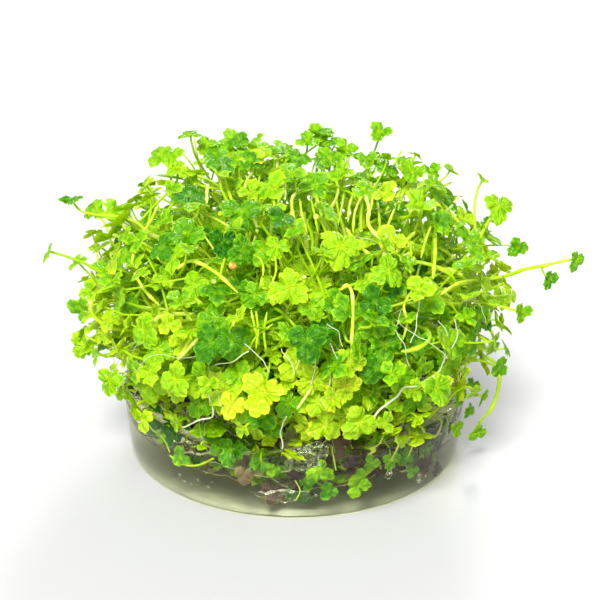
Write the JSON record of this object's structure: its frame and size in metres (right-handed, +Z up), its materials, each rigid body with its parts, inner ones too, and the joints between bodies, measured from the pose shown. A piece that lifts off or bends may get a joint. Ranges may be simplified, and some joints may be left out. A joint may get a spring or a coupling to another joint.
{
  "type": "aquarium plant portion in gel",
  "caption": "Dense cushion of small three-lobed leaves on thin stalks, rooted in a low clear puck of culture gel, with creeping stems reaching out.",
  "frame": {"origin": "centre of the gel's flat base", "axes": "+Z up; -Y faces the viewer, +X to the viewer's right"},
  "size_m": [0.1437, 0.1329, 0.086],
  "materials": {
    "gel": "clear, faintly olive, wet",
    "roots": "damp and matte",
    "cushion": "fresh leaf, satin",
    "leaf_dark": "dark leaf, glossy",
    "leaf_mid": "fresh leaf, satin",
    "leaf_bright": "young yellow-green leaf, satin",
    "stem": "pale juicy stem, satin"
  },
  "bodies": {
    "root": {"gel": "gel", "leaf_back_far": "leaf_mid", "leaf_back_left": "leaf_mid", "leaf_back_left_far": "leaf_mid", "leaf_back_left_high": "leaf_dark", "leaf_back_low": "leaf_bright", "leaf_back_middle": "leaf_bright", "leaf_back_right": "leaf_mid", "leaf_back_right_high": "leaf_dark", "leaf_cushion": "cushion", "leaf_front_bright": "leaf_bright", "leaf_front_crinkled": "leaf_bright", "leaf_front_dark": "leaf_dark", "leaf_front_left": "leaf_dark", "leaf_front_left_high": "leaf_dark", "leaf_front_left_low": "leaf_bright", "leaf_front_right": "leaf_mid", "leaf_front_right_low": "leaf_mid", "leaf_front_round": "leaf_bright", "leaf_front_yellow": "leaf_bright", "leaf_left_edge": "leaf_bright", "leaf_left_far": "leaf_mid", "leaf_left_hanging": "leaf_mid", "leaf_left_high": "leaf_dark", "leaf_left_lower": "leaf_mid", "leaf_left_shoulder": "leaf_mid", "leaf_right_bottom": "leaf_mid", "leaf_right_fallen": "leaf_mid", "leaf_right_far": "leaf_mid", "leaf_right_low": "leaf_mid", "leaf_right_lowest": "leaf_dark", "leaf_right_middle": "leaf_dark", "leaf_right_shoulder": "leaf_mid", "leaf_right_shoulder_outer": "leaf_mid", "leaf_right_shoulder_small": "leaf_mid", "leaf_top_left_cup": "leaf_dark", "leaf_top_left_outer": "leaf_mid", "leaf_top_left_small": "leaf_mid", "leaf_top_left_tall": "leaf_mid", "leaf_top_middle_back": "leaf_dark", "leaf_top_middle_left": "leaf_dark", "leaf_top_middle_right": "leaf_mid", "leaf_top_right_bud": "leaf_bright", "leaf_top_right_tall": "leaf_dark", "roots": "roots", "stem_back_arch": "stem", "stem_back_long": "stem", "stem_front_left_arch": "stem", "stem_front_right_arch": "stem", "stem_left_arch": "stem", "stem_right_arch": "stem", "stem_right_hanging": "stem", "stem_right_long": "stem"}
  },
  "joints": []
}
